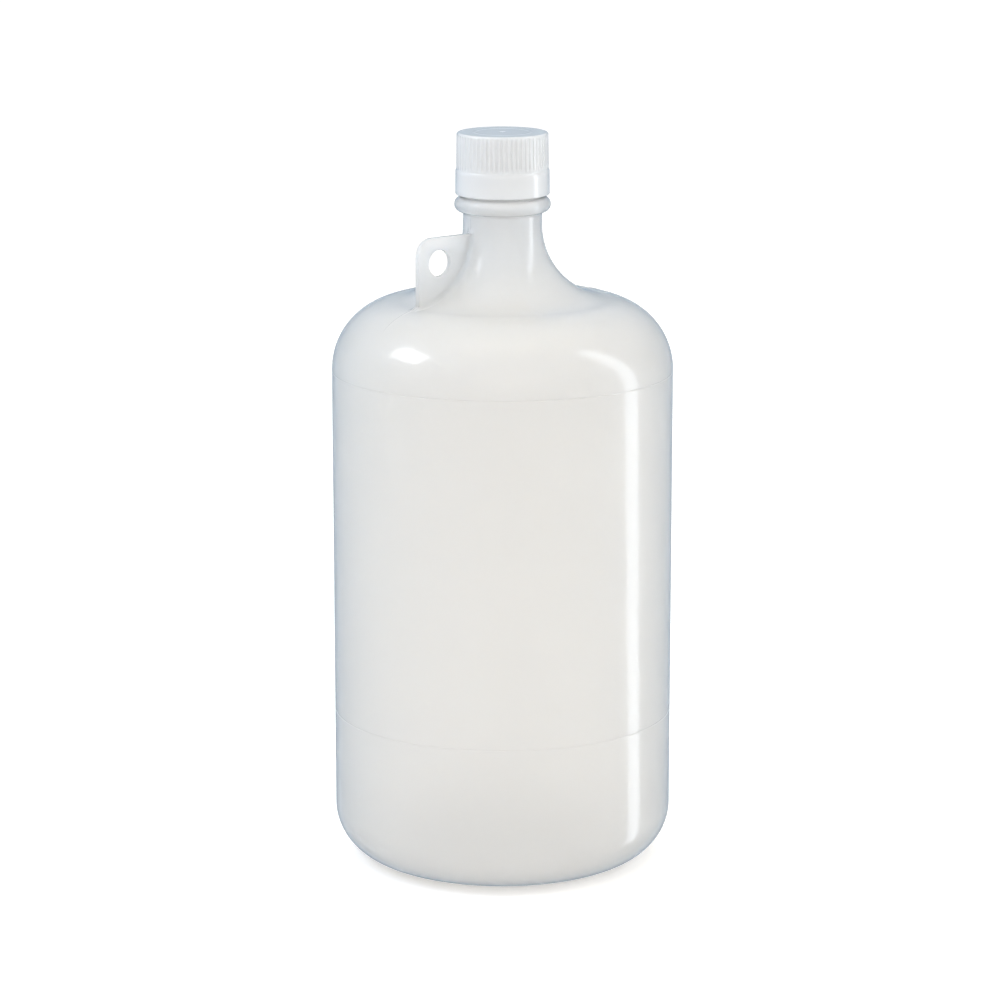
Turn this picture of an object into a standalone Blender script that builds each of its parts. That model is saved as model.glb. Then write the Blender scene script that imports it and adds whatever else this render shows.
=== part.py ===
"""Large narrow-mouth plastic reagent bottle with a ribbed screw closure.

The bottle stands on z = 0 with its axis on the world Z axis. Its hanging lug points to -X, on the
mould's parting plane. The closure is screwed on, and it turns and climbs along a right-hand thread.
All sizes are in metres.
"""

import math

import bmesh
import bpy
from mathutils import Matrix

# Body
BODY_RADIUS = 0.0770
WALL = 0.0018
BASE_CORNER = 0.0242
FOOT_RING_INNER = 0.0450
PUSH_UP = 0.0035
DOME_FOOT = 0.2269

# Shoulder and neck
DOME_ARC = 0.0320
THROAT_ARC = 0.0339
NECK_RADIUS = 0.0177
NECK_BORE = NECK_RADIUS - WALL

# Transfer bead under the closure
BEAD_HEIGHT = 0.3017
BEAD_SECTION = 0.0034
BEAD_RADIUS = 0.0216

# Threaded finish
FINISH_ROOT = 0.0174
MOUTH_HEIGHT = 0.3299
LIP_ROUND = 0.0005
THREAD_PITCH = 0.0254 / 6
THREAD_DEPTH = 0.00135
THREAD_ROOT_HALF = 0.0012
THREAD_CREST_HALF = 0.00045
THREAD_TURNS = 1.5
THREAD_LOW_END = 0.3170
THREAD_RUN_OUT_DEG = 30
THREAD_BURY = 0.0006

# Hanging lug
LUG_REACH = 0.0479
LUG_TOP = 0.2899
LUG_CORNER = 0.0080
LUG_THICKNESS = 0.0030
LUG_HOLE_RADIUS = 0.0060
LUG_HOLE_REACH = 0.0362
LUG_HOLE_HEIGHT = 0.2784

# Closure
CAP_BOTTOM = 0.3062
CAP_TOP = 0.3339
CAP_TOP_WALL = 0.0022
CAP_BORE = 0.01915
CAP_LEAD_IN = 0.0005
CAP_SKIRT_RADIUS = 0.0211
CAP_SHOULDER_RADIUS = 0.0210
CAP_LEDGE = 0.3171
CAP_FLUTE_RUN_OUT = 0.0030
CAP_RIB_RADIUS_LOW = 0.0207
CAP_RIB_RADIUS_TOP = 0.0205
CAP_RIB_HEIGHT = 0.0004
CAP_EDGE_ROUND = 0.0011
CAP_RIB_COUNT = 60
CAP_RIB_WIDTH = 0.00115
CAP_THREAD_DROP = 0.00178
CAP_THREAD_TURNS = 2.5
CAP_THREAD_LOW_END = THREAD_LOW_END - THREAD_PITCH - CAP_THREAD_DROP

# Seal liner
LINER_RADIUS = 0.0187
LINER_THICKNESS = 0.0012
FIT_GAP = 0.0003

# Facets
BOTTLE_STEPS = 48
CAP_STEPS = 60
LINER_STEPS = 48
HOLE_STEPS = 24
MERGE = 0.00001
QUARTER = math.pi / 2


def clear_scene():
    for obj in list(bpy.data.objects):
        bpy.data.objects.remove(obj, do_unlink=True)


def new_collection(name, hidden=False):
    collection = bpy.data.collections.new(name)
    collection.hide_render = hidden
    bpy.context.scene.collection.children.link(collection)
    return collection


def new_object(name, mesh, collection):
    obj = bpy.data.objects.new(name, mesh)
    collection.objects.link(obj)
    return obj


def plastic(name, colour, roughness, alpha=1.0):
    material = bpy.data.materials.new(name)
    material.use_nodes = True
    shader = material.node_tree.nodes["Principled BSDF"]
    shader.inputs["Base Color"].default_value = (*colour, 1.0)
    shader.inputs["Roughness"].default_value = roughness
    shader.inputs["Metallic"].default_value = 0.0
    shader.inputs["Alpha"].default_value = alpha
    material.diffuse_color = (*colour, alpha)
    return material


def arc(centre, radius, start, end, steps):
    """Points on a circle in the (r, z) half plane, from the start angle to the end angle."""
    points = []
    for i in range(steps + 1):
        angle = start + (end - start) * i / steps
        points.append((centre[0] + radius * math.cos(angle), centre[1] + radius * math.sin(angle)))
    return points


def dome_centre():
    return (BODY_RADIUS - DOME_ARC, DOME_FOOT)


def throat_centre():
    """The throat's arc touches both the neck and the dome's arc."""
    dome_r, dome_z = dome_centre()
    throat_r = NECK_RADIUS + THROAT_ARC
    rise = math.sqrt((DOME_ARC + THROAT_ARC) ** 2 - (throat_r - dome_r) ** 2)
    return (throat_r, dome_z + rise)


def shoulder_outline(inset, dome_steps, throat_steps):
    """The shoulder from the neck down to the body, moved inwards from the outer surface by inset."""
    dome = dome_centre()
    throat = throat_centre()
    lean = math.atan2(throat[1] - dome[1], throat[0] - dome[0])
    upper = arc(throat, THROAT_ARC + inset, math.pi, math.pi + lean, throat_steps)
    lower = arc(dome, DOME_ARC - inset, lean, 0.0, dome_steps)
    return upper + lower[1:]


def base_outline(corner_steps, ring_steps, inset):
    """The base from the body's side to the axis: a corner, a flat ring to stand on and a push-up."""
    corner_centre = (BODY_RADIUS - BASE_CORNER, BASE_CORNER)
    points = arc(corner_centre, BASE_CORNER - inset, 0.0, -QUARTER, corner_steps)
    for i in range(ring_steps + 1):
        radius = FOOT_RING_INNER * (1 - i / ring_steps)
        rise = PUSH_UP * (1 + math.cos(math.pi * radius / FOOT_RING_INNER)) / 2
        points.append((radius, rise + inset))
    return points


def bead_outline(steps):
    """The half-round bead, from top to bottom."""
    centre = (BEAD_RADIUS - BEAD_SECTION, BEAD_HEIGHT)
    return arc(centre, BEAD_SECTION, QUARTER, -QUARTER, steps)


def bottle_outline():
    """Inside up to the mouth, over the lip, then down the outside, with both ends on the axis."""
    inside = base_outline(5, 6, WALL)[::-1]
    inside += shoulder_outline(WALL, 6, 6)[::-1]
    lip_inner = (NECK_BORE + LIP_ROUND, MOUTH_HEIGHT - LIP_ROUND)
    lip_outer = (FINISH_ROOT - LIP_ROUND, MOUTH_HEIGHT - LIP_ROUND)
    lip = arc(lip_inner, LIP_ROUND, math.pi, QUARTER, 2) + arc(lip_outer, LIP_ROUND, QUARTER, 0.0, 2)
    finish_foot = [(FINISH_ROOT, BEAD_HEIGHT + BEAD_SECTION)]
    neck_top = [(NECK_RADIUS, BEAD_HEIGHT - BEAD_SECTION)]
    outside = finish_foot + bead_outline(8) + neck_top + shoulder_outline(0.0, 8, 8)
    return inside + lip + outside + base_outline(7, 6, 0.0)


def turned(name, outline, steps, collection):
    """A profile at +X, swept once round Z."""
    mesh = bpy.data.meshes.new(name)
    points = [(r, 0.0, z) for r, z in outline]
    edges = [(i, i + 1) for i in range(len(points) - 1)]
    mesh.from_pydata(points, edges, [])
    obj = new_object(name, mesh, collection)
    screw = obj.modifiers.new("Turn", "SCREW")
    screw.axis = "Z"
    screw.angle = 2 * math.pi
    screw.steps = steps
    screw.render_steps = steps
    screw.use_merge_vertices = True
    screw.merge_threshold = MERGE
    screw.use_smooth_shade = True
    return obj


def add_boolean(obj, other, operation):
    cut = obj.modifiers.new(f"{operation.title()} {other.name}", "BOOLEAN")
    cut.operation = operation
    cut.object = other
    cut.solver = "EXACT"


def thread_ridge(name, base, crest, low_end, turns, steps_per_turn, collection):
    """A right-hand ridge from its base radius to its crest radius, tapered to nothing at both ends.

    A base inside the crest is an outer thread, and a base outside it is an inner thread. The base is
    sunk into the wall that the ridge stands on.
    """
    outward = 1 if crest > base else -1
    buried = base - outward * THREAD_BURY
    slope = (THREAD_ROOT_HALF - THREAD_CREST_HALF) / THREAD_DEPTH
    stations = round(turns * steps_per_turn)
    run_out = THREAD_RUN_OUT_DEG / 360 * steps_per_turn
    ridge = bmesh.new()
    rings = []
    for i in range(stations + 1):
        angle = 2 * math.pi * i / steps_per_turn
        middle = low_end + THREAD_PITCH * i / steps_per_turn
        fullness = min(1.0, i / run_out, (stations - i) / run_out)
        top = buried + (crest - buried) * fullness
        foot_half = THREAD_ROOT_HALF + slope * THREAD_BURY
        top_half = foot_half - slope * abs(top - buried)
        ring = []
        for radius, side in ((buried, -foot_half), (top, -top_half), (top, top_half), (buried, foot_half)):
            x, y = radius * math.cos(angle), radius * math.sin(angle)
            ring.append(ridge.verts.new((x, y, middle + side)))
        rings.append(ring)
    for low, high in zip(rings, rings[1:]):
        for i in range(4):
            ridge.faces.new((low[i], low[(i + 1) % 4], high[(i + 1) % 4], high[i]))
    ridge.faces.new(rings[0])
    ridge.faces.new(rings[-1][::-1])
    bmesh.ops.remove_doubles(ridge, verts=ridge.verts, dist=MERGE)
    bmesh.ops.recalc_face_normals(ridge, faces=ridge.faces)
    mesh = bpy.data.meshes.new(name)
    ridge.to_mesh(mesh)
    ridge.free()
    return as_cutter(new_object(name, mesh, collection))


def as_cutter(obj):
    obj.hide_render = True
    obj.display_type = "WIRE"
    return obj


def lug_outline():
    """The lug's outline in (reach from the axis, height). Its inner side runs inside the bottle's wall."""
    corner = (LUG_REACH - LUG_CORNER, LUG_TOP - LUG_CORNER)
    dome_r, dome_z = dome_centre()
    foot_height = dome_z + math.sqrt((DOME_ARC - WALL / 2) ** 2 - (LUG_REACH - dome_r) ** 2)
    top = [(NECK_RADIUS - WALL / 2, LUG_TOP)] + arc(corner, LUG_CORNER, QUARTER, 0.0, 5)
    mid_wall = shoulder_outline(WALL / 2, 8, 8)[::-1]
    inner_side = [(r, z) for r, z in mid_wall if r < LUG_REACH and z < LUG_TOP]
    return top + [(LUG_REACH, foot_height)] + inner_side


def make_lug(collection):
    """The lug as a flat outline in the XZ plane, given its thickness along Y."""
    curve = bpy.data.curves.new("lug", "CURVE")
    curve.dimensions = "2D"
    curve.fill_mode = "BOTH"
    curve.extrude = LUG_THICKNESS / 2
    outline = lug_outline()
    spline = curve.splines.new("POLY")
    spline.points.add(len(outline) - 1)
    for point, (reach, height) in zip(spline.points, outline):
        point.co = (-reach, height, 0.0, 1.0)
    spline.use_cyclic_u = True
    flat = new_object("lug_curve", curve, collection)
    flat.rotation_euler = (QUARTER, 0.0, 0.0)
    bpy.context.view_layer.update()
    return as_cutter(mesh_from_curve("lug", flat, collection))


def mesh_from_curve(name, curve_object, collection):
    graph = bpy.context.evaluated_depsgraph_get()
    mesh = bpy.data.meshes.new_from_object(curve_object.evaluated_get(graph))
    solid = bmesh.new()
    solid.from_mesh(mesh)
    bmesh.ops.remove_doubles(solid, verts=solid.verts, dist=MERGE)
    bmesh.ops.recalc_face_normals(solid, faces=solid.faces)
    solid.to_mesh(mesh)
    solid.free()
    obj = new_object(name, mesh, collection)
    obj.matrix_world = curve_object.matrix_world
    bpy.data.objects.remove(curve_object, do_unlink=True)
    return obj


def make_lug_hole(collection):
    bpy.ops.mesh.primitive_cylinder_add(
        vertices=HOLE_STEPS,
        radius=LUG_HOLE_RADIUS,
        depth=LUG_THICKNESS * 4,
        location=(-LUG_HOLE_REACH, 0.0, LUG_HOLE_HEIGHT),
        rotation=(QUARTER, 0.0, 0.0),
    )
    hole = bpy.context.object
    hole.name = "lug_hole"
    for owner in list(hole.users_collection):
        owner.objects.unlink(hole)
    collection.objects.link(hole)
    return as_cutter(hole)


def make_bottle(parts, helpers):
    bottle = turned("bottle", bottle_outline(), BOTTLE_STEPS, parts)
    crest = FINISH_ROOT + THREAD_DEPTH
    ridge = thread_ridge(
        "neck_thread", FINISH_ROOT, crest, THREAD_LOW_END, THREAD_TURNS, BOTTLE_STEPS, helpers
    )
    add_boolean(bottle, ridge, "UNION")
    add_boolean(bottle, make_lug(helpers), "UNION")
    add_boolean(bottle, make_lug_hole(helpers), "DIFFERENCE")
    bottle.data.materials.append(plastic("natural_polypropylene", (0.80, 0.81, 0.81), 0.30, 0.75))
    return bottle


def flute_floor(rib_radius):
    return rib_radius - CAP_RIB_HEIGHT


def closure_outline():
    """Under the top from the axis, down the inside of the skirt, then up the outside and to the axis."""
    underside = CAP_TOP - CAP_TOP_WALL
    inside = [
        (0.0, underside),
        (CAP_BORE, underside),
        (CAP_BORE, CAP_BOTTOM + CAP_LEAD_IN),
        (CAP_BORE + CAP_LEAD_IN, CAP_BOTTOM),
    ]
    skirt = [
        (CAP_SKIRT_RADIUS - CAP_LEAD_IN, CAP_BOTTOM),
        (CAP_SKIRT_RADIUS, CAP_BOTTOM + CAP_LEAD_IN),
        (CAP_SHOULDER_RADIUS, CAP_LEDGE - CAP_LEAD_IN),
        (CAP_RIB_RADIUS_LOW, CAP_LEDGE),
        (flute_floor(CAP_RIB_RADIUS_LOW), CAP_LEDGE + CAP_FLUTE_RUN_OUT),
    ]
    edge_radius = flute_floor(CAP_RIB_RADIUS_TOP)
    edge = arc((edge_radius - CAP_EDGE_ROUND, CAP_TOP - CAP_EDGE_ROUND), CAP_EDGE_ROUND, 0.0, QUARTER, 3)
    return (inside + skirt + edge + [(0.0, CAP_TOP)])[::-1]


def make_ribs(collection):
    """The closure's ribs as one mesh of separate bars, each sunk into the closure's wall."""
    low = CAP_LEDGE - CAP_LEAD_IN / 2
    high = CAP_TOP - CAP_EDGE_ROUND
    lean = math.atan2(CAP_RIB_RADIUS_LOW - CAP_RIB_RADIUS_TOP, high - low)
    depth = CAP_RIB_HEIGHT * 2
    middle_radius = (CAP_RIB_RADIUS_LOW + CAP_RIB_RADIUS_TOP) / 2 - depth / 2
    bars = bmesh.new()
    for i in range(CAP_RIB_COUNT):
        angle = 2 * math.pi * (i + 0.5) / CAP_RIB_COUNT
        made = bmesh.ops.create_cube(bars, size=1.0)["verts"]
        bmesh.ops.scale(bars, verts=made, vec=(depth, CAP_RIB_WIDTH, high - low))
        for vert in made:
            if vert.co.x > 0:
                vert.co.y *= 0.6
            vert.co.x -= vert.co.z * math.tan(lean)
        bmesh.ops.translate(bars, verts=made, vec=(middle_radius, 0.0, (low + high) / 2))
        bmesh.ops.rotate(bars, verts=made, matrix=Matrix.Rotation(angle, 3, "Z"), cent=(0.0, 0.0, 0.0))
    mesh = bpy.data.meshes.new("closure_ribs")
    bars.to_mesh(mesh)
    bars.free()
    return as_cutter(new_object("closure_ribs", mesh, collection))


def make_closure(parts, helpers):
    closure = turned("closure", closure_outline(), CAP_STEPS, parts)
    # The closure's thread pulls up on the underside of the neck's thread, so it lies just below it.
    crest = CAP_BORE - THREAD_DEPTH
    ridge = thread_ridge(
        "closure_thread", CAP_BORE, crest, CAP_THREAD_LOW_END, CAP_THREAD_TURNS, CAP_STEPS, helpers
    )
    add_boolean(closure, make_ribs(helpers), "UNION")
    add_boolean(closure, ridge, "UNION")
    closure.data.materials.append(plastic("natural_closure_polypropylene", (0.78, 0.80, 0.82), 0.35, 0.85))
    return closure


def make_liner(parts):
    top = CAP_TOP - CAP_TOP_WALL - FIT_GAP
    outline = [(0.0, top), (LINER_RADIUS, top), (LINER_RADIUS, top - LINER_THICKNESS), (0.0, top - LINER_THICKNESS)]
    liner = turned("seal_liner", outline, LINER_STEPS, parts)
    liner.data.materials.append(plastic("white_liner_foam", (0.85, 0.85, 0.84), 0.60))
    return liner


def main():
    clear_scene()
    parts = new_collection("reagent_bottle")
    helpers = new_collection("reagent_bottle_helpers", hidden=True)
    bottle = make_bottle(parts, helpers)
    closure = make_closure(parts, helpers)
    liner = make_liner(parts)
    liner.parent = closure
    closure.parent = bottle


main()
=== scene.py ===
"""Looks of a large narrow-mouth plastic reagent bottle with a ribbed screw closure.

The bottle, its closure and the seal liner are rebuilt as fine turned meshes in the places of their CAD
solids, in metres. Each rides on the body of the solid that it stands for.
"""

import math

import bmesh
import bpy
import numpy as np
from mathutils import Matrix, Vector, noise


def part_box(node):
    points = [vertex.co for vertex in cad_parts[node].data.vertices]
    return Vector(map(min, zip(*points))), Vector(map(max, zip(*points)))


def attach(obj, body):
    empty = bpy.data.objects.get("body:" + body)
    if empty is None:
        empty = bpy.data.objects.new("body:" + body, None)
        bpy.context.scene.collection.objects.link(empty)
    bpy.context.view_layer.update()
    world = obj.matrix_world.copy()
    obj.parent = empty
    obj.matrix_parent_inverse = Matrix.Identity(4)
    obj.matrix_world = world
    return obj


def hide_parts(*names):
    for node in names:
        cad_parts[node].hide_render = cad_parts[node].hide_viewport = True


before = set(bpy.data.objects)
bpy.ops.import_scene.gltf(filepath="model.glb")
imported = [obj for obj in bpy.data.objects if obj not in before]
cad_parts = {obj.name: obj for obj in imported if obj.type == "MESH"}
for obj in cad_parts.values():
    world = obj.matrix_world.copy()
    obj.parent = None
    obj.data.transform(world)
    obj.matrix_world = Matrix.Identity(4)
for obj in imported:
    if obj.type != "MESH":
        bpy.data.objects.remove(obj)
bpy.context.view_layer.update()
BOTTLE_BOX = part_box("bottle")
CAP_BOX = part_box("closure")
LINER_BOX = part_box("seal_liner")

QUARTER = math.pi / 2
MM = 0.001

# Bottle
BODY_RADIUS = BOTTLE_BOX[1].x
MOUTH_HEIGHT = BOTTLE_BOX[1].z
WALL = 1.8 * MM
BASE_CORNER = 24.2 * MM
FOOT_RING_INNER = 45.0 * MM
FOOT_EDGE_ROUND = 1.5 * MM
PUSH_UP = 3.5 * MM
DOME_FOOT = 226.9 * MM
DOME_ARC = 32.0 * MM
THROAT_ARC = 33.9 * MM
NECK_RADIUS = 17.7 * MM
SEAM_HEIGHTS = (69.4 * MM, DOME_FOOT - 0.4 * MM)
SEAM_DEPTH = 0.16 * MM
SEAM_HALF_WIDTH = 0.35 * MM
BODY_WAVE = 0.06 * MM

# Transfer bead and threaded finish
BEAD_HEIGHT = 301.7 * MM
BEAD_SECTION = 3.4 * MM
BEAD_RADIUS = 21.6 * MM
BEAD_FILLETS = (0.8 * MM, 1.6 * MM)
FINISH_ROOT = 17.4 * MM
LIP_ROUND = 0.5 * MM
PITCH = 25.4 * MM / 6
THREAD_DEPTH = 1.35 * MM
THREAD_ROOT_HALF = 1.2 * MM
THREAD_CREST_HALF = 0.45 * MM
THREAD_RUN_OUT = 30 / 360
NECK_THREAD = {"low_end": 317.0 * MM, "turns": 1.5}
CAP_THREAD = {"low_end": 317.0 * MM - PITCH - 1.78 * MM, "turns": 2.5}

# Hanging lug on the parting plane, towards -X
LUG_REACH = 47.9 * MM
LUG_TOP = 289.9 * MM
LUG_CORNER = 8.0 * MM
LUG_HALF_THICKNESS = 1.5 * MM
LUG_EDGE_ROUND = 0.5 * MM
LUG_FILLET = 1.8 * MM
LUG_HOLE_RADIUS = 6.0 * MM
LUG_HOLE_REACH = 36.2 * MM
LUG_HOLE_HEIGHT = 278.4 * MM
PARTING_HEIGHT = 0.16 * MM
PARTING_HALF_WIDTH = 0.30 * MM
PARTING_REACH = 66.4 * MM
PINCH_OFF_HEIGHT = 0.24 * MM
PINCH_OFF_FADE = (0.38 * BODY_RADIUS, 0.52 * BODY_RADIUS)

# Closure
CAP_BOTTOM = CAP_BOX[0].z
CAP_TOP = CAP_BOX[1].z
CAP_SKIRT_RADIUS = CAP_BOX[1].x
CAP_TOP_WALL = 2.2 * MM
CAP_BORE = 19.15 * MM
CAP_LEAD_IN = 0.5 * MM
CAP_LEDGE = 317.1 * MM
CAP_LEDGE_ROUND = 0.25 * MM
CAP_RIB_RADIUS_LOW = 20.7 * MM
CAP_RIB_RADIUS_TOP = 20.5 * MM
CAP_FLUTE_DEPTH = 0.42 * MM
CAP_FLUTE_RUN_OUT = 3.0 * MM
CAP_EDGE_ROUND = 1.1 * MM
CAP_RIBS = 60
CAP_RING_RADIUS = 12.5 * MM
CAP_RING_HEIGHT = 0.15 * MM
CAP_RING_HALF_WIDTH = 0.5 * MM
CAP_GATE_RADIUS = 1.6 * MM

# Camera, by the view's azimuth and elevation
CAMERA_AZIMUTH = math.radians(-38)
CAMERA_ELEVATION = 0.2218
CAMERA_DISTANCE = 1.7406
CAMERA_AIM_HEIGHT = 0.1654
CAMERA_LENS = 137.56
CAMERA_SHIFT = (-0.0025, 0.0005)

# What the studio round the bottle lights it with, and where its glow starts and is full. What the gloss
# mirrors is darker near the horizon than above it
WORLD_COOL = (0.72, 0.72, 0.725)
WORLD_WARM = (0.98, 0.89, 0.81)
WORLD_GLOW = (0.45, 0.97)
WORLD_MIRRORED = (0.31, 0.42, 0.54)
WORLD_MIRRORED_UPPER = (0.56, 0.66, 0.80)
WORLD_UPPER = (0.15, 0.45)


def arc(centre, radius, start, end, steps):
    """Points on a circle in the (r, z) half plane, from the start angle to the end angle."""
    points = []
    for i in range(steps + 1):
        angle = start + (end - start) * i / steps
        points.append((centre[0] + radius * math.cos(angle), centre[1] + radius * math.sin(angle)))
    return points


def run(start, end, steps):
    """Evenly spaced points on a straight line, without its two ends."""
    return [
        (start[0] + (end[0] - start[0]) * i / steps, start[1] + (end[1] - start[1]) * i / steps)
        for i in range(1, steps)
    ]


def smooth_step(low, high, value):
    """From 0 at low to 1 at high, level at both ends."""
    t = np.clip((value - low) / (high - low), 0.0, 1.0)
    return t * t * (3 - 2 * t)


def dome_centre():
    """The centre of the dome's arc in (r, z)."""
    return (BODY_RADIUS - DOME_ARC, DOME_FOOT)


def throat_centre():
    """The throat's arc touches both the neck and the dome's arc."""
    dome_r, dome_z = dome_centre()
    throat_r = NECK_RADIUS + THROAT_ARC
    rise = math.sqrt((DOME_ARC + THROAT_ARC) ** 2 - (throat_r - dome_r) ** 2)
    return (throat_r, dome_z + rise)


def shoulder_outline(inset, steps):
    """The shoulder from the neck down to the body, moved inwards from the outer surface by inset."""
    dome = dome_centre()
    throat = throat_centre()
    lean = math.atan2(throat[1] - dome[1], throat[0] - dome[0])
    upper = arc(throat, THROAT_ARC + inset, math.pi, math.pi + lean, steps)
    lower = arc(dome, DOME_ARC - inset, lean, 0.0, steps)
    return upper + lower[1:]


def base_outline(inset, corner_steps, ring_steps):
    """The base from the body's side to the axis: a corner, a flat foot ring and a push-up."""
    corner_centre = (BODY_RADIUS - BASE_CORNER, BASE_CORNER)
    points = arc(corner_centre, BASE_CORNER - inset, 0.0, -QUARTER, corner_steps)
    for i in range(ring_steps + 1):
        radius = FOOT_RING_INNER * (1 - i / ring_steps)
        rise = PUSH_UP * (1 + math.cos(math.pi * radius / FOOT_RING_INNER)) / 2
        points.append((radius, rise + inset))
    return points


def bead_side(wall_radius, fillet, side):
    """Where a fillet meets the bead and the straight wall: the fillet's centre and its angle at the bead."""
    centre_r = BEAD_RADIUS - BEAD_SECTION
    across = wall_radius + fillet - centre_r
    rise = side * math.sqrt((BEAD_SECTION + fillet) ** 2 - across**2)
    return (wall_radius + fillet, BEAD_HEIGHT + rise), math.atan2(rise, across)


def bead_outline():
    """The half-round bead from top to bottom, with a fillet above and below it."""
    top_centre, top_angle = bead_side(FINISH_ROOT, BEAD_FILLETS[0], 1)
    low_centre, low_angle = bead_side(NECK_RADIUS, BEAD_FILLETS[1], -1)
    bead_centre = (BEAD_RADIUS - BEAD_SECTION, BEAD_HEIGHT)
    above = arc(top_centre, BEAD_FILLETS[0], math.pi, math.pi + top_angle, 5)
    round_part = arc(bead_centre, BEAD_SECTION, top_angle, low_angle, 18)
    below = arc(low_centre, BEAD_FILLETS[1], math.pi + low_angle, math.pi, 7)
    return above + round_part[1:-1] + below


def body_outline():
    """The straight side from the dome to the base corner, with rows close together at each mould seam."""
    points = []
    high = DOME_FOOT
    for seam in sorted(SEAM_HEIGHTS, reverse=True):
        top_row = seam + SEAM_HALF_WIDTH * 2
        steps = max(1, round((high - top_row) / (8 * MM)))
        points += run((BODY_RADIUS, high), (BODY_RADIUS, top_row), steps)
        close_rows = [seam + SEAM_HALF_WIDTH * k / 2 for k in range(4, -5, -1)]
        points += [(BODY_RADIUS, row) for row in close_rows if row < high]
        high = seam - SEAM_HALF_WIDTH * 2
    points += run((BODY_RADIUS, high), (BODY_RADIUS, BASE_CORNER), 6)
    return points


def bottle_outline():
    """Inside up to the mouth, over the lip, then down the outside, with both ends on the axis."""
    bore = NECK_RADIUS - WALL
    inside = base_outline(WALL, 10, 12)[::-1]
    inside += run(inside[-1], (BODY_RADIUS - WALL, DOME_FOOT), 8)
    inside += shoulder_outline(WALL, 14)[::-1]
    lip_low = MOUTH_HEIGHT - LIP_ROUND
    lip = arc((bore + LIP_ROUND, lip_low), LIP_ROUND, math.pi, QUARTER, 4)
    lip += arc((FINISH_ROOT - LIP_ROUND, lip_low), LIP_ROUND, QUARTER, 0.0, 4)
    bead = bead_outline()
    finish = run(lip[-1], bead[0], 90)
    shoulder = shoulder_outline(0.0, 26)
    neck = run(bead[-1], shoulder[0], 6)
    return inside + lip + finish + bead + neck + shoulder + body_outline() + base_outline(0.0, 20, 16)


def thread_relief(phi, z, low_end, turns):
    """How far a right-hand thread ridge stands out of its wall at an angle and a height."""
    turn = phi / (2 * math.pi)
    station = turn + np.round((z - low_end) / PITCH - turn)
    gap = np.abs(z - low_end - PITCH * station)
    fullness = smooth_step(0.0, THREAD_RUN_OUT, np.minimum(station, turns - station))
    ridge = 1 - smooth_step(THREAD_CREST_HALF * 0.8, THREAD_ROOT_HALF * 1.05, gap)
    return THREAD_DEPTH * ridge * fullness


def wave(phi, z, seed):
    """Slow unevenness of a blow moulded wall, from -1 to 1."""
    values = np.empty(phi.shape)
    flat_phi, flat_z, flat = phi.ravel(), z.ravel(), values.ravel()
    for i in range(flat.size):
        spot = Vector((math.cos(flat_phi[i]) * 1.3, math.sin(flat_phi[i]) * 1.3 + seed, flat_z[i] / 0.055))
        flat[i] = noise.noise(spot)
    return flat.reshape(phi.shape)


def bottle_relief(phi, r, z, n_r, n_z):
    """Threads, mould seams, parting line, lug fillet and slow unevenness, along the outward normal."""
    outside = np.maximum(r > NECK_RADIUS - WALL / 2, 0) * (n_r > -0.3)
    total = np.zeros(r.shape)
    on_finish = outside * (z > BEAD_HEIGHT + BEAD_SECTION * 1.4)
    total += on_finish * thread_relief(phi, z, **NECK_THREAD)
    body = outside * (r > BODY_RADIUS * 0.97)
    for seam in SEAM_HEIGHTS:
        dip = 1 - smooth_step(0.0, SEAM_HALF_WIDTH, np.abs(z - seam))
        total -= body * SEAM_DEPTH * dip
    slow = smooth_step(BASE_CORNER, BASE_CORNER * 2, z) * (1 - smooth_step(DOME_FOOT * 0.9, DOME_FOOT, z))
    total += body * slow * BODY_WAVE * wave(phi, z, 3.0)
    x, y = r * np.cos(phi), r * np.sin(phi)
    line = np.exp(-((y / PARTING_HALF_WIDTH) ** 2))
    above = (z > DOME_FOOT) * (z < BEAD_HEIGHT - BEAD_SECTION * 1.4)
    total += outside * above * (1 - smooth_step(PARTING_REACH - MM, PARTING_REACH, r)) * PARTING_HEIGHT * line
    under = (z < PUSH_UP * 1.2) * (n_z < -0.5)
    total += under * (1 - smooth_step(*PINCH_OFF_FADE, r)) * PINCH_OFF_HEIGHT * line
    beside = np.maximum(np.abs(y) - LUG_HALF_THICKNESS, 0)
    beyond = np.maximum(np.maximum(r - LUG_REACH, z - LUG_TOP), 0)
    away = np.minimum(np.hypot(beside, beyond) / LUG_FILLET, 1.0)
    fillet = LUG_FILLET * (1 - np.sqrt(1 - (1 - away) ** 2))
    total += outside * (x < 0) * (z > DOME_FOOT) * (z < BEAD_HEIGHT) * fillet
    return total


def parting_angles(uniform_steps, close):
    """Angles once round, evenly spaced, with extra ones close to the parting plane at 0 and 180 degrees."""
    angles = {round(2 * math.pi * i / uniform_steps, 9) for i in range(uniform_steps)}
    for middle in (0.0, math.pi):
        for degrees in close:
            for side in (-1, 1):
                angles.add(round((middle + side * math.radians(degrees)) % (2 * math.pi), 9))
    return np.array(sorted(angles))


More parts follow.
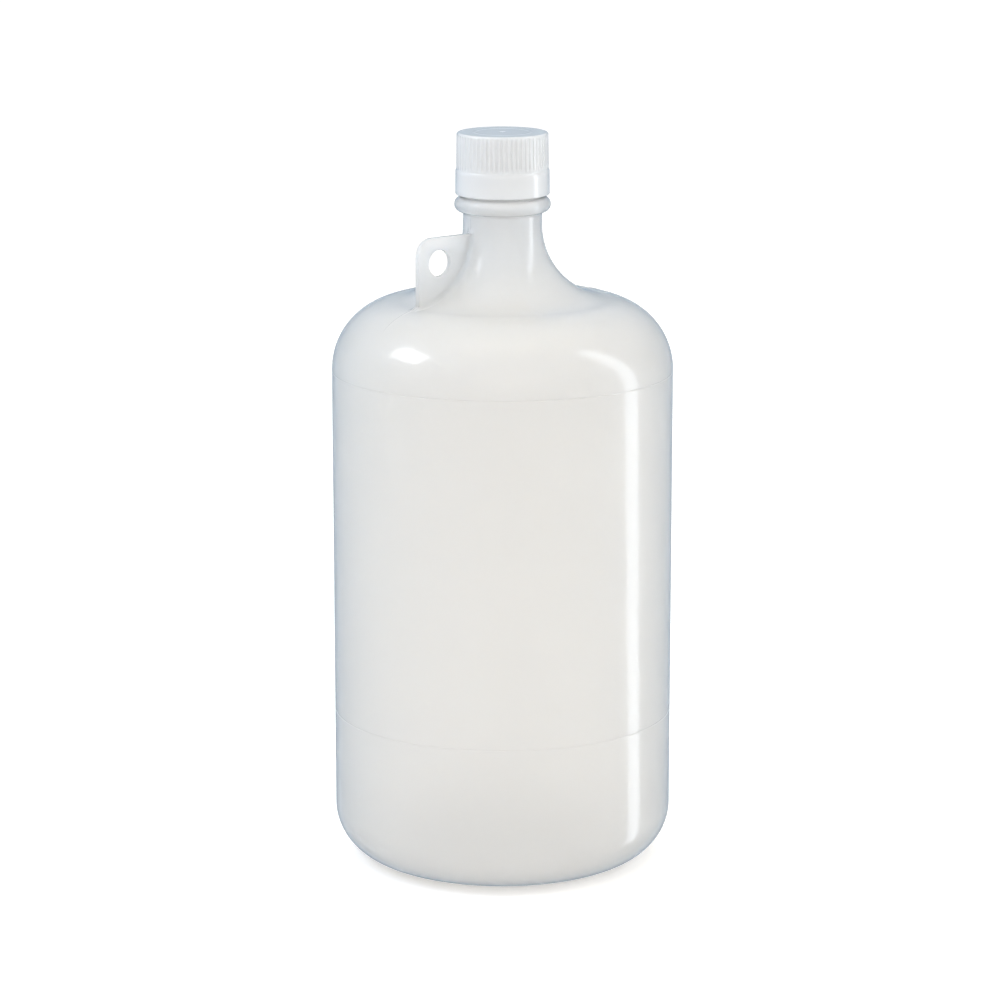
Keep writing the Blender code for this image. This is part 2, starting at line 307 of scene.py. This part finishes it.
def turned(name, outline, angles, relief=None):
    """A closed solid of revolution whose outline starts and ends on the axis, with relief on its surface."""
    r, z = np.array(outline).T
    tangent_r, tangent_z = np.gradient(r), np.gradient(z)
    length = np.hypot(tangent_r, tangent_z)
    n_r, n_z = -tangent_z / length, tangent_r / length
    inner = slice(1, -1)
    columns = np.broadcast_to(angles, (len(r) - 2, len(angles)))
    grid = [np.broadcast_to(a[inner, None], columns.shape) for a in (r, z, n_r, n_z)]
    ring_r, ring_z, ring_nr, ring_nz = grid
    out = relief(columns, ring_r, ring_z, ring_nr, ring_nz) if relief else np.zeros(columns.shape)
    ring_r = ring_r + out * ring_nr
    ring_z = ring_z + out * ring_nz
    points = np.stack([ring_r * np.cos(columns), ring_r * np.sin(columns), ring_z], -1).reshape(-1, 3)
    start, end = len(points), len(points) + 1
    points = np.vstack([points, [(0, 0, z[0]), (0, 0, z[-1])]])
    rows, count = columns.shape
    index = np.arange(rows * count).reshape(rows, count)
    after = np.roll(index, -1, axis=1)
    quads = np.stack([index[:-1], index[1:], after[1:], after[:-1]], -1).reshape(-1, 4)
    faces = quads.tolist()
    faces += [(start, int(a), int(b)) for a, b in zip(index[0], after[0])]
    faces += [(end, int(b), int(a)) for a, b in zip(index[-1], after[-1])]
    mesh = bpy.data.meshes.new(name)
    mesh.from_pydata(points.tolist(), [], faces)
    mesh.update()
    obj = bpy.data.objects.new(name, mesh)
    bpy.context.scene.collection.objects.link(obj)
    return obj


def lug_outline():
    """The lug's outline in (reach from the axis, height). Its inner side runs inside the bottle's wall."""
    corner = (LUG_REACH - LUG_CORNER, LUG_TOP - LUG_CORNER)
    dome_r, dome_z = dome_centre()
    foot_height = dome_z + math.sqrt((DOME_ARC - WALL / 2) ** 2 - (LUG_REACH - dome_r) ** 2)
    top = [(NECK_RADIUS - WALL / 2, LUG_TOP)] + arc(corner, LUG_CORNER, QUARTER, 0.0, 16)
    mid_wall = shoulder_outline(WALL / 2, 26)[::-1]
    inner_side = [(r, z) for r, z in mid_wall if r < LUG_REACH and z < LUG_TOP]
    return top + [(LUG_REACH, foot_height)] + inner_side


def add_loop(curve, points):
    """Adds a closed outline, given in (reach, height), to a flat curve."""
    spline = curve.splines.new("POLY")
    spline.points.add(len(points) - 1)
    for point, (across, height) in zip(spline.points, points):
        point.co = (-across, height, 0.0, 1.0)
    spline.use_cyclic_u = True


def make_lug():
    """A slab with rounded edges and a round hole, in the XZ plane."""
    curve = bpy.data.curves.new("lug", "CURVE")
    curve.dimensions = "2D"
    curve.fill_mode = "BOTH"
    curve.extrude = LUG_HALF_THICKNESS - LUG_EDGE_ROUND
    curve.bevel_depth = LUG_EDGE_ROUND
    curve.bevel_resolution = 4
    curve.offset = -LUG_EDGE_ROUND
    add_loop(curve, lug_outline())
    add_loop(curve, arc((LUG_HOLE_REACH, LUG_HOLE_HEIGHT), LUG_HOLE_RADIUS, 0.0, 2 * math.pi, 48)[:-1])
    flat = bpy.data.objects.new("lug_curve", curve)
    bpy.context.scene.collection.objects.link(flat)
    graph = bpy.context.evaluated_depsgraph_get()
    mesh = bpy.data.meshes.new_from_object(flat.evaluated_get(graph))
    solid = bmesh.new()
    solid.from_mesh(mesh)
    bmesh.ops.remove_doubles(solid, verts=solid.verts, dist=0.001 * MM)
    for vert in solid.verts:
        vert.co = (vert.co.x, -vert.co.z, vert.co.y)
    bmesh.ops.recalc_face_normals(solid, faces=solid.faces)
    solid.to_mesh(mesh)
    solid.free()
    bpy.data.objects.remove(flat, do_unlink=True)
    lug = bpy.data.objects.new("lug", mesh)
    bpy.context.scene.collection.objects.link(lug)
    return lug


def union(obj, other):
    """Joins other into obj for good."""
    join = obj.modifiers.new("Join", "BOOLEAN")
    join.operation = "UNION"
    join.object = other
    join.solver = "EXACT"
    graph = bpy.context.evaluated_depsgraph_get()
    mesh = bpy.data.meshes.new_from_object(obj.evaluated_get(graph))
    obj.modifiers.clear()
    obj.data = mesh
    bpy.data.objects.remove(other, do_unlink=True)


def shade_round(obj, degrees):
    """Smooth shading, with edges sharper than the angle kept."""
    obj.data.shade_smooth()
    obj.data.set_sharp_from_angle(angle=math.radians(degrees))


def make_bottle():
    close = (0.1, 0.25, 0.45, 0.7, 1.0, 1.4, 1.9, 2.4, 3.0, 3.6, 4.4, 5.4, 6.6, 8.0, 9.6, 11.2)
    bottle = turned("bottle_moulding", bottle_outline(), parting_angles(216, close), bottle_relief)
    union(bottle, make_lug())
    shade_round(bottle, 40)
    return bottle


def closure_outline():
    """The top from the axis, down the outside, round the skirt's edge and up the inside to the axis."""
    underside = CAP_TOP - CAP_TOP_WALL
    edge_radius = CAP_RIB_RADIUS_TOP
    top = [(0.0, CAP_TOP)] + [(edge_radius * k / 40, CAP_TOP) for k in range(1, 38)]
    edge = arc((edge_radius - CAP_EDGE_ROUND, CAP_TOP - CAP_EDGE_ROUND), CAP_EDGE_ROUND, QUARTER, 0.0, 7)
    ledge_top = (CAP_RIB_RADIUS_LOW, CAP_LEDGE + CAP_LEDGE_ROUND)
    ribs = run(edge[-1], (CAP_RIB_RADIUS_LOW, CAP_LEDGE + CAP_FLUTE_RUN_OUT), 12)
    run_out = run(ribs[-1], ledge_top, 9)
    ledge_foot = (CAP_SKIRT_RADIUS - 0.1 * MM, CAP_LEDGE - CAP_LEDGE_ROUND)
    ledge = [ledge_top, ((ledge_top[0] + ledge_foot[0]) / 2, CAP_LEDGE), ledge_foot]
    skirt_low = (CAP_SKIRT_RADIUS, CAP_BOTTOM + CAP_LEAD_IN)
    skirt = run(ledge_foot, skirt_low, 6)
    rim = arc((CAP_SKIRT_RADIUS - CAP_LEAD_IN, skirt_low[1]), CAP_LEAD_IN, 0.0, -QUARTER, 4)
    rim += arc((CAP_BORE + CAP_LEAD_IN, skirt_low[1]), CAP_LEAD_IN, -QUARTER, -math.pi, 4)
    inside = run(rim[-1], (CAP_BORE, underside - 7 * MM), 52)
    inside += run(inside[-1], (CAP_BORE, underside), 4)
    ceiling = [(CAP_BORE, underside), (CAP_BORE * 0.5, underside), (0.0, underside)]
    return top + edge + ribs + run_out + ledge + skirt + rim + inside + ceiling


def closure_relief(phi, r, z, n_r, n_z):
    """Flutes between the ribs, the thread inside, and a faint ring and gate mark on the top."""
    wave_round = np.cos(CAP_RIBS * phi)
    groove = smooth_step(-0.45, 0.55, -wave_round)
    outside = (n_r > 0.5) * (r > CAP_RIB_RADIUS_TOP * 0.99)
    low_fade = smooth_step(CAP_LEDGE + CAP_LEDGE_ROUND, CAP_LEDGE + CAP_FLUTE_RUN_OUT, z)
    high_fade = 1 - smooth_step(CAP_TOP - CAP_EDGE_ROUND * 1.6, CAP_TOP - CAP_EDGE_ROUND * 0.7, z)
    total = outside * -CAP_FLUTE_DEPTH * groove * low_fade * high_fade
    inside = (n_r < -0.5) * (r < CAP_BORE * 1.01)
    total = total + inside * thread_relief(phi, z, **CAP_THREAD)
    on_top = (n_z > 0.7) * (z > CAP_TOP - 0.1 * MM)
    ring = 1 - smooth_step(0.0, CAP_RING_HALF_WIDTH, np.abs(r - CAP_RING_RADIUS))
    gate = 1 - smooth_step(CAP_GATE_RADIUS * 0.6, CAP_GATE_RADIUS, r)
    return total + on_top * CAP_RING_HEIGHT * (ring - gate)


def make_closure():
    angles = np.arange(CAP_RIBS * 10) * 2 * math.pi / (CAP_RIBS * 10)
    closure = turned("ribbed_closure", closure_outline(), angles, closure_relief)
    shade_round(closure, 50)
    return closure


def make_liner():
    """A disc with rounded edges and a faint pressed ring where the mouth bears on it."""
    radius, top, low = LINER_BOX[1].x, LINER_BOX[1].z, LINER_BOX[0].z
    edge = 0.3 * MM
    outline = [(0.0, top), (radius * 0.5, top)]
    outline += arc((radius - edge, top - edge), edge, QUARTER, 0.0, 4)
    outline += arc((radius - edge, low + edge), edge, 0.0, -QUARTER, 4)
    outline += [(FINISH_ROOT, low), (FINISH_ROOT - 0.3 * MM, low + 0.1 * MM)]
    outline += [(NECK_RADIUS - WALL + 0.3 * MM, low + 0.1 * MM), (NECK_RADIUS - WALL, low), (0.0, low)]
    angles = np.arange(128) * 2 * math.pi / 128
    liner = turned("foam_liner", outline, angles)
    shade_round(liner, 40)
    return liner


class Nodes:
    """A short way to add and join the nodes of one material."""

    def __init__(self, name):
        self.material = bpy.data.materials.new(name)
        self.material.use_nodes = True
        self.tree = self.material.node_tree
        self.shader = self.tree.nodes["Principled BSDF"]

    def add(self, kind, **settings):
        node = self.tree.nodes.new(kind)
        for key, value in settings.items():
            if hasattr(node, key):
                setattr(node, key, value)
            else:
                node.inputs[key.replace("_", " ")].default_value = value
        return node

    def join(self, output, socket):
        self.tree.links.new(output, socket)

    def place(self, scale):
        """Object coordinates, stretched by scale."""
        where = self.add("ShaderNodeTexCoord")
        mapping = self.add("ShaderNodeMapping")
        mapping.inputs["Scale"].default_value = scale
        self.join(where.outputs["Object"], mapping.inputs["Vector"])
        return mapping.outputs["Vector"]

    def noise(self, scale, size, detail):
        texture = self.add("ShaderNodeTexNoise", Scale=size, Detail=detail)
        self.join(self.place(scale), texture.inputs["Vector"])
        return texture.outputs["Fac"]

    def ramp(self, value, low, high, stops=(0.3, 0.7)):
        """Colours between low and high as value goes from the first stop to the second."""
        ramp = self.add("ShaderNodeValToRGB")
        ramp.color_ramp.elements[0].position = stops[0]
        ramp.color_ramp.elements[1].position = stops[1]
        ramp.color_ramp.elements[0].color = (*low, 1.0)
        ramp.color_ramp.elements[1].color = (*high, 1.0)
        self.join(value, ramp.inputs["Fac"])
        return ramp.outputs["Color"]

    def spread(self, value, low, high):
        """Numbers between low and high as value goes from 0.3 to 0.7."""
        spread = self.add("ShaderNodeMapRange")
        for key, number in (("From Min", 0.3), ("From Max", 0.7), ("To Min", low), ("To Max", high)):
            spread.inputs[key].default_value = number
        self.join(value, spread.inputs["Value"])
        return spread.outputs["Result"]

    def rise(self, low, high):
        """From 0 at the low height to 1 at the high one."""
        where = self.add("ShaderNodeTexCoord")
        parts = self.add("ShaderNodeSeparateXYZ")
        self.join(where.outputs["Object"], parts.inputs["Vector"])
        rise = self.add("ShaderNodeMapRange", interpolation_type="SMOOTHSTEP")
        rise.inputs["From Min"].default_value = low
        rise.inputs["From Max"].default_value = high
        self.join(parts.outputs["Z"], rise.inputs["Value"])
        return rise.outputs["Result"]

    def blend(self, share, first, second):
        """The first colour where share is 0, the second where it is 1."""
        blend = self.add("ShaderNodeMix", data_type="RGBA")
        self.join(share, blend.inputs[0])
        self.join(first, blend.inputs[6])  # the colour input A
        self.join(second, blend.inputs[7])  # the colour input B
        return blend.outputs[2]

    def bump(self, height, distance, strength):
        bump = self.add("ShaderNodeBump", Strength=strength, Distance=distance)
        self.join(height, bump.inputs["Height"])
        self.join(bump.outputs["Normal"], self.shader.inputs["Normal"])

    def set(self, **values):
        for key, value in values.items():
            self.shader.inputs[key.replace("_", " ")].default_value = value


def translucent_plastic(name, dark, light, roughness, gloss, clearness, density, pale_above=None):
    """Natural polypropylene: a milky wall that blurs what is behind it, under a soft gloss.

    Between the two heights of pale_above its colour turns more neutral. The warmer colour below them is in
    part painted light: it stands for the warm glow that shines through the middle of the bottle.
    """
    nodes = Nodes(name)
    cloud = nodes.noise((1.0, 1.0, 0.35), 42.0, 3.0)
    colour = nodes.ramp(cloud, dark, light)
    # Below pale_above the warm colour is in part painted warm light from the glow through the bottle's
    # middle; above it the colour turns neutral
    if pale_above:
        pale = nodes.ramp(cloud, (0.985, 0.981, 0.974), (0.995, 0.991, 0.984))
        colour = nodes.blend(nodes.rise(*pale_above), colour, pale)
    nodes.join(colour, nodes.shader.inputs["Base Color"])
    smear = nodes.noise((1.0, 1.0, 0.15), 160.0, 4.0)
    nodes.join(nodes.spread(smear, roughness - 0.03, roughness + 0.04), nodes.shader.inputs["Roughness"])
    grain = nodes.noise((1.0, 1.0, 1.0), 1400.0, 2.0)
    nodes.bump(grain, 0.02 * MM, 0.25)
    nodes.set(IOR=1.45, Transmission_Weight=clearness, Coat_Weight=1.0, Coat_Roughness=gloss, Coat_IOR=1.5)
    haze = nodes.add("ShaderNodeVolumeAbsorption", Color=(0.82, 0.86, 0.88, 1.0), Density=density)
    nodes.join(haze.outputs["Volume"], nodes.tree.nodes["Material Output"].inputs["Volume"])
    return nodes.material


def foam():
    nodes = Nodes("white_foam")
    cells = nodes.noise((1.0, 1.0, 1.0), 2600.0, 2.0)
    nodes.join(nodes.ramp(cells, (0.74, 0.74, 0.72), (0.84, 0.84, 0.83)), nodes.shader.inputs["Base Color"])
    nodes.join(nodes.spread(cells, 0.6, 0.75), nodes.shader.inputs["Roughness"])
    nodes.bump(cells, 0.05 * MM, 0.4)
    return nodes.material


def floor_material():
    nodes = Nodes("pale_floor")
    soft = nodes.noise((1.0, 1.0, 1.0), 6.0, 2.0)
    nodes.join(nodes.ramp(soft, (0.93, 0.93, 0.93), (0.95, 0.95, 0.95)), nodes.shader.inputs["Base Color"])
    nodes.set(Roughness=0.9, Emission_Strength=0.28)
    nodes.shader.inputs["Emission Color"].default_value = (1.0, 0.96, 0.92, 1.0)
    return nodes.material


def dress(piece, material, body, node):
    """Gives a piece its material and its body, and hides the CAD node it stands for."""
    piece.data.materials.clear()
    piece.data.materials.append(material)
    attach(piece, body)
    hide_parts(node)


def make_floor():
    bpy.ops.mesh.primitive_circle_add(vertices=96, radius=2.2, fill_type="NGON")
    floor = bpy.context.object
    floor.name = "floor"
    floor.data.materials.append(floor_material())
    floor.visible_glossy = False


def from_camera(right, front, up):
    """A point given as seen by the camera: to its right, towards it and up, from the bottle's foot."""
    front_axis = Vector((math.sin(CAMERA_AZIMUTH), -math.cos(CAMERA_AZIMUTH), 0.0))
    right_axis = Vector((math.cos(CAMERA_AZIMUTH), math.sin(CAMERA_AZIMUTH), 0.0))
    return right_axis * right + front_axis * front + Vector((0.0, 0.0, up))


def softbox(name, place, aim, size, radiance, colour=(1.0, 1.0, 1.0), lean=0.0):
    """A rectangular area light, (width, height), of a given radiance, turned about its own axis by lean."""
    lamp = bpy.data.lights.new(name, "AREA")
    lamp.shape = "RECTANGLE"
    lamp.size, lamp.size_y = size
    lamp.energy = radiance * math.pi * size[0] * size[1]
    lamp.color = colour
    obj = bpy.data.objects.new(name, lamp)
    obj.location = place
    obj.rotation_euler = (Vector(aim) - Vector(place)).to_track_quat("-Z", "Y").to_euler()
    obj.rotation_euler.rotate_axis("Z", lean)
    obj.visible_camera = False
    bpy.context.scene.collection.objects.link(obj)
    return obj


def make_lights():
    middle = (0.0, 0.0, 0.17)
    strip_place = from_camera(0.80, 0.03, 0.34)
    strip_aim = from_camera(0.0, 0.03, 0.34)
    softbox("strip", strip_place, strip_aim, (0.17, 1.7), 3.4, (0.87, 0.93, 1.0), lean=math.radians(15))
    softbox("window", from_camera(-0.72, 0.16, 0.80), (0.0, 0.0, 0.25), (0.40, 0.27), 4.7, (0.96, 0.98, 1.0))
    soft = [
        softbox("front", from_camera(0.2, 2.2, 0.9), middle, (1.6, 1.2), 1.66, (1.0, 0.95, 0.88)),
        softbox("top", (0.0, 0.0, 1.8), middle, (2.0, 2.0), 1.25, (1.0, 0.91, 0.68)),
        softbox("top_left", from_camera(-1.0, 0.2, 1.6), middle, (1.2, 1.2), 0.85, (0.05, 0.40, 1.0)),
        softbox("left_side", from_camera(-1.2, -0.5, 0.5), middle, (0.8, 1.4), 0.66, (0.45, 0.77, 1.0)),
    ]
    for lamp in soft:
        lamp.visible_glossy = False


def graded_background(tree, value, stops, low, high):
    """A background whose colour eases from low to high as value goes from the first stop to the second."""
    ramp = tree.nodes.new("ShaderNodeValToRGB")
    ramp.color_ramp.interpolation = "EASE"
    for element, stop, colour in zip(ramp.color_ramp.elements, stops, (low, high)):
        element.position = stop
        element.color = (*colour, 1.0)
    tree.links.new(value, ramp.inputs["Fac"])
    background = tree.nodes.new("ShaderNodeBackground")
    tree.links.new(ramp.outputs["Color"], background.inputs["Color"])
    return background


def make_world():
    """White to look at. It lights with a cool grey and a warmer glow behind the bottle, and gloss mirrors
    it darker near the horizon."""
    world = bpy.data.worlds.new("studio")
    bpy.context.scene.world = world
    world.use_nodes = True
    tree = world.node_tree
    shown = tree.nodes["Background"]
    shown.inputs["Color"].default_value = (1.0, 1.0, 1.0, 1.0)
    shown.inputs["Strength"].default_value = 1.05
    where = tree.nodes.new("ShaderNodeTexCoord")
    facing = tree.nodes.new("ShaderNodeVectorMath")
    facing.operation = "DOT_PRODUCT"
    facing.inputs[1].default_value = from_camera(0.0, -1.0, 0.0)
    tree.links.new(where.outputs["Generated"], facing.inputs[0])
    lit = graded_background(tree, facing.outputs["Value"], WORLD_GLOW, WORLD_COOL, WORLD_WARM)
    parts = tree.nodes.new("ShaderNodeSeparateXYZ")
    tree.links.new(where.outputs["Generated"], parts.inputs["Vector"])
    mirrored = graded_background(tree, parts.outputs["Z"], WORLD_UPPER, WORLD_MIRRORED, WORLD_MIRRORED_UPPER)
    path = tree.nodes.new("ShaderNodeLightPath")
    glossy = tree.nodes.new("ShaderNodeMixShader")
    tree.links.new(path.outputs["Is Glossy Ray"], glossy.inputs["Fac"])
    tree.links.new(lit.outputs["Background"], glossy.inputs[1])
    tree.links.new(mirrored.outputs["Background"], glossy.inputs[2])
    mix = tree.nodes.new("ShaderNodeMixShader")
    tree.links.new(path.outputs["Is Camera Ray"], mix.inputs["Fac"])
    tree.links.new(glossy.outputs["Shader"], mix.inputs[1])
    tree.links.new(shown.outputs["Background"], mix.inputs[2])
    tree.links.new(mix.outputs["Shader"], tree.nodes["World Output"].inputs["Surface"])


def make_camera():
    data = bpy.data.cameras.new("camera")
    data.lens = CAMERA_LENS
    data.shift_x, data.shift_y = CAMERA_SHIFT
    camera = bpy.data.objects.new("camera", data)
    back = Vector((
        math.sin(CAMERA_AZIMUTH) * math.cos(CAMERA_ELEVATION),
        -math.cos(CAMERA_AZIMUTH) * math.cos(CAMERA_ELEVATION),
        math.sin(CAMERA_ELEVATION),
    ))
    camera.location = Vector((0.0, 0.0, CAMERA_AIM_HEIGHT)) + back * CAMERA_DISTANCE
    camera.rotation_mode = "QUATERNION"
    camera.rotation_quaternion = (-back).to_track_quat("-Z", "Y")
    bpy.context.scene.collection.objects.link(camera)
    bpy.context.scene.camera = camera


bottle_plastic = translucent_plastic(
    "natural_bottle_plastic",
    # The warm dark and light colours are in part painted warm light, standing for the glow through the middle
    # of the bottle
    dark=(0.978, 0.957, 0.928),
    light=(0.988, 0.967, 0.938),
    roughness=0.48,
    gloss=0.12,
    clearness=0.66,
    density=12.0,
    pale_above=(245 * MM, 285 * MM),
)
closure_plastic = translucent_plastic(
    "natural_closure_plastic",
    dark=(0.970, 0.975, 0.980),
    light=(0.985, 0.988, 0.992),
    roughness=0.32,
    gloss=0.05,
    clearness=0.45,
    density=2.0,
)
dress(make_bottle(), bottle_plastic, "bottle", "bottle")
dress(make_closure(), closure_plastic, "closure", "closure")
dress(make_liner(), foam(), "liner", "seal_liner")
make_floor()
make_lights()
make_world()
make_camera()
bpy.context.scene.view_settings.view_transform = "Standard"
